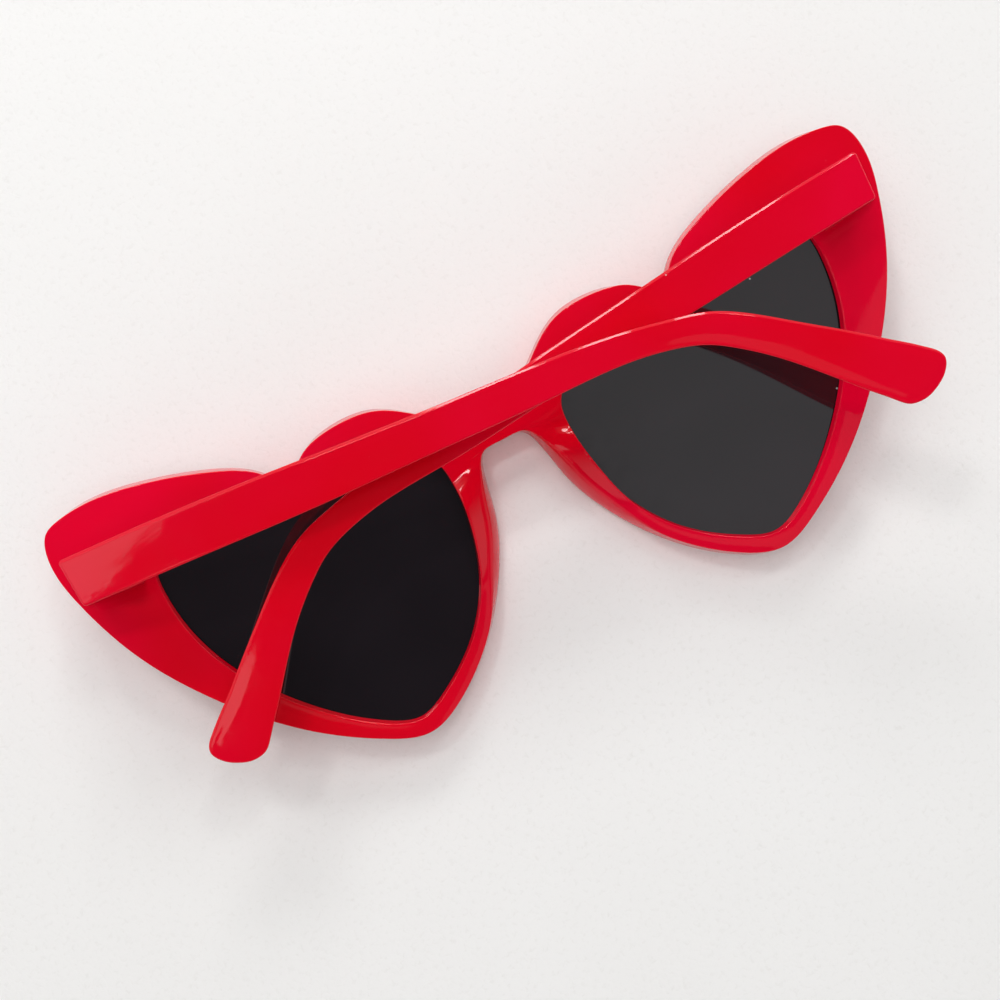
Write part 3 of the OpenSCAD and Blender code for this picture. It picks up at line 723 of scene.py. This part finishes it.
def templeMesh(name, side, sideName):
    # the blade: rounded inner edge, leaning wall, chamfer and flat outer face that sinks
    # and rolls off a little along the ear part; the chamfer is low + (high - low) * upShare,
    # widest where the edge faces up the blade
    own = temple[sideName]
    outline, middle = templeOutline(own)
    long = outline[:, :1]
    thinner = (temple["thick"] - temple["tipThick"]) * np.clip(long, 0, None) / temple["long"]
    low = thinner + hinge["proud"]
    onEar = smooth((long - temple["rollFrom"]) / (temple["rollFull"] - temple["rollFrom"]))
    roll = temple["roll"] * onEar
    high = temple["thick"] - roll - temple["sink"] * onEar
    edge, lean, small = temple["innerEdge"], temple["lean"], temple["edgeRound"]
    upShare = np.clip(outlineSides(outline)[:, 1:], 0, 1)
    wide = temple["chamferLow"] + (temple["chamferHigh"] - temple["chamferLow"]) * upShare
    deep = temple["chamferSlope"] * wide
    slide = np.array([1, temple["chamferSlope"]]) / math.hypot(1, temple["chamferSlope"])
    turn = np.linspace(0, math.pi / 2, temple["edgeSteps"] + 1)[None, :]
    rows = np.linspace(0, 1, temple["wallSteps"] + 1)[None, 1:]
    t = np.linspace(0, 1, temple["chamferSteps"] + 1)[None, :]
    wallTop = high - deep - small
    everywhere = 0 * long  # spreads a row of columns over all the outline's points
    insets = lean + edge * (1 - np.sin(turn)) + everywhere
    heights = low + edge * (1 - np.cos(turn))
    insets = np.concatenate([insets, lean * (1 - rows) + everywhere], 1)
    heights = np.concatenate([heights, (low + edge) * (1 - rows) + wallTop * rows], 1)
    # quadratic curves round the chamfer's two edges
    insets = np.concatenate([insets, slide[0] * small * t[:, 1:] ** 2 + everywhere], 1)
    heights = np.concatenate([heights, wallTop + 2 * t[:, 1:] * (1 - t[:, 1:]) * small
                              + t[:, 1:] ** 2 * small * (1 + slide[1])], 1)
    first, last = wide - slide[0] * small, wide + small
    insets = np.concatenate([
        insets, first * (1 - t) ** 2 + 2 * t * (1 - t) * wide + t * t * last], 1)
    heights = np.concatenate([heights, high - slide[1] * small * (1 - t) ** 2], 1)
    faceShares = np.linspace(0, 1, temple["faceSteps"] + 1) ** temple["faceCrowding"]
    grid = slabSection(outline, middle, insets, heights,
                       lambda away: roll * smooth(away / temple["rollWide"]), faceShares)
    x = hinge["reach"] - grid[..., 0]
    z = temple["faceGap"] + grid[..., 2]
    turn = math.radians(own["lie"])
    grid[..., 0] = side * (hingeX + x * math.cos(turn) + z * math.sin(turn))
    grid[..., 2] = hingeZ - x * math.sin(turn) + z * math.cos(turn)
    grid[..., 1] += hinge["up"]
    return finishMesh(gridMesh(name, grid, closeSection=False))


for side, sideName in ((1, "right"), (-1, "left")):
    addPiece(templeMesh(f"templeArm_{sideName}", side, sideName),
             f"temple_{sideName}", "red_plastic", redMaterial, f"temple_{sideName}")
print("stage: temples")

studio = {
    "tableSize": 1.2, "zenith": (0.045, 0.045, 0.05), "horizon": (0.80, 0.79, 0.78),
    "darkAbove": 0.75, "paleBelow": 0.45,
}
softboxes = [
    # three panes of a window up the face, two roof windows, a curtain, two side
    # windows, a ceiling panel over the right lens and a wide overhead light that is not
    # mirrored; those with "down" face straight down, turned about z by that many degrees
    {"name": "windowPaneLeft", "at": (0.22, 0.84, 0.46), "size": (0.11, 0.20), "power": 1.0},
    {"name": "windowPaneMiddle", "at": (0.05, 0.88, 0.49), "size": (0.11, 0.20), "power": 1.0},
    {"name": "windowPaneRight", "at": (0.40, 0.80, 0.46), "size": (0.11, 0.20), "power": 1.0},
    {"name": "roofWindowWide", "at": (-0.11, 0.55, 0.79), "size": (0.15, 0.10), "power": 1.0},
    {"name": "roofWindowTall", "at": (0.42, 0.46, 0.74), "size": (0.10, 0.11), "power": 0.65},
    {"name": "curtain", "at": (-0.30, 0.66, 0.62), "size": (0.30, 0.26), "power": 0.45},
    {"name": "sideWindow", "at": (-0.40, 0.19, 0.80), "size": (0.30, 0.12), "power": 0.18,
     "down": 21.0},
    {"name": "sideWindowLow", "at": (-0.335, 0.035, 0.80), "size": (0.10, 0.12), "power": 0.07,
     "down": 37.0},
    {"name": "ceilingPanel", "at": (0.078, -0.112, 0.50), "size": (0.09, 0.267),
     "power": 0.027, "down": 0.0},
    {"name": "overhead", "at": (0.0, 0.10, 2.50), "size": (3.0, 3.0), "power": 29.5,
     "down": 0.0, "mirrored": False},
]
photoCamera = {
    "at": (-11.686, -11.891, 205.0), "tiltUp": 0.0621, "tiltSide": -0.0046,
    "roll": 0.4806, "focalPixels": 1229.29, "framePixels": 1000.0, "sensor": 36.0,
    "near": 0.01, "far": 50,
}

floorMesh = bpy.data.meshes.new("tableTop")
reachOut = studio["tableSize"]
floorMesh.from_pydata([(-reachOut, -reachOut, 0), (reachOut, -reachOut, 0),
                       (reachOut, reachOut, 0), (-reachOut, reachOut, 0)], [], [(0, 1, 2, 3)])
floorMesh.materials.append(makeTableTop())
tableObject = bpy.data.objects.new("tableTop", floorMesh)
bpy.context.scene.collection.objects.link(tableObject)

# the room: pale up to a height of paleBelow in the sky's unit sphere, dark above darkAbove
world = bpy.data.worlds.new("paleRoom")
world.use_nodes = True
bpy.context.scene.world = world
worldTree = world.node_tree
background = worldTree.nodes["Background"]
direction = addNode(worldTree, "ShaderNodeTexCoord").outputs["Generated"]
upward = addNode(worldTree, "ShaderNodeSeparateXYZ", {"Vector": direction}).outputs["Z"]
height = ranged(worldTree, upward, studio["paleBelow"], studio["darkAbove"], 0, 1)
worldTree.links.new(blendColours(worldTree, height, studio["horizon"], studio["zenith"]),
                    background.inputs["Color"])

for box in softboxes:
    lamp = bpy.data.lights.new(box["name"], "AREA")
    lamp.shape = "RECTANGLE"
    lamp.size, lamp.size_y = box["size"]
    lamp.energy = box["power"]
    lampObject = bpy.data.objects.new(box["name"], lamp)
    place = Vector(box["at"])
    lampObject.location = place
    if "down" in box:
        lampObject.rotation_euler = (0, 0, math.radians(box["down"]))
    else:
        lampObject.rotation_euler = (-place).to_track_quat("-Z", "Y").to_euler()
    lampObject.visible_camera = False
    lampObject.visible_glossy = box.get("mirrored", True)
    bpy.context.scene.collection.objects.link(lampObject)

# the camera looks straight down, rolled, then tilted about its right and its up axis
cameraData = bpy.data.cameras.new("photoCamera")
cameraData.sensor_width = photoCamera["sensor"]
cameraData.lens = photoCamera["focalPixels"] / photoCamera["framePixels"] * photoCamera["sensor"]
cameraData.clip_start = photoCamera["near"]
cameraData.clip_end = photoCamera["far"]
cameraObject = bpy.data.objects.new("photoCamera", cameraData)
roll = photoCamera["roll"]
rightAxis = Vector((math.cos(roll), -math.sin(roll), 0))
upAxis = Vector((math.sin(roll), math.cos(roll), 0))
lookAxis = Vector((0, 0, -1))
tilt = Matrix.Rotation(photoCamera["tiltUp"], 3, rightAxis)
upAxis, lookAxis = tilt @ upAxis, tilt @ lookAxis
tilt = Matrix.Rotation(photoCamera["tiltSide"], 3, upAxis)
rightAxis, lookAxis = tilt @ rightAxis, tilt @ lookAxis
cameraObject.matrix_world = Matrix.Translation(Vector(photoCamera["at"]) * mm) \
    @ Matrix((rightAxis, upAxis, -lookAxis)).transposed().to_4x4()
bpy.context.scene.collection.objects.link(cameraObject)
bpy.context.scene.camera = cameraObject
bpy.context.scene.view_settings.view_transform = "Standard"
print("stage: studio")
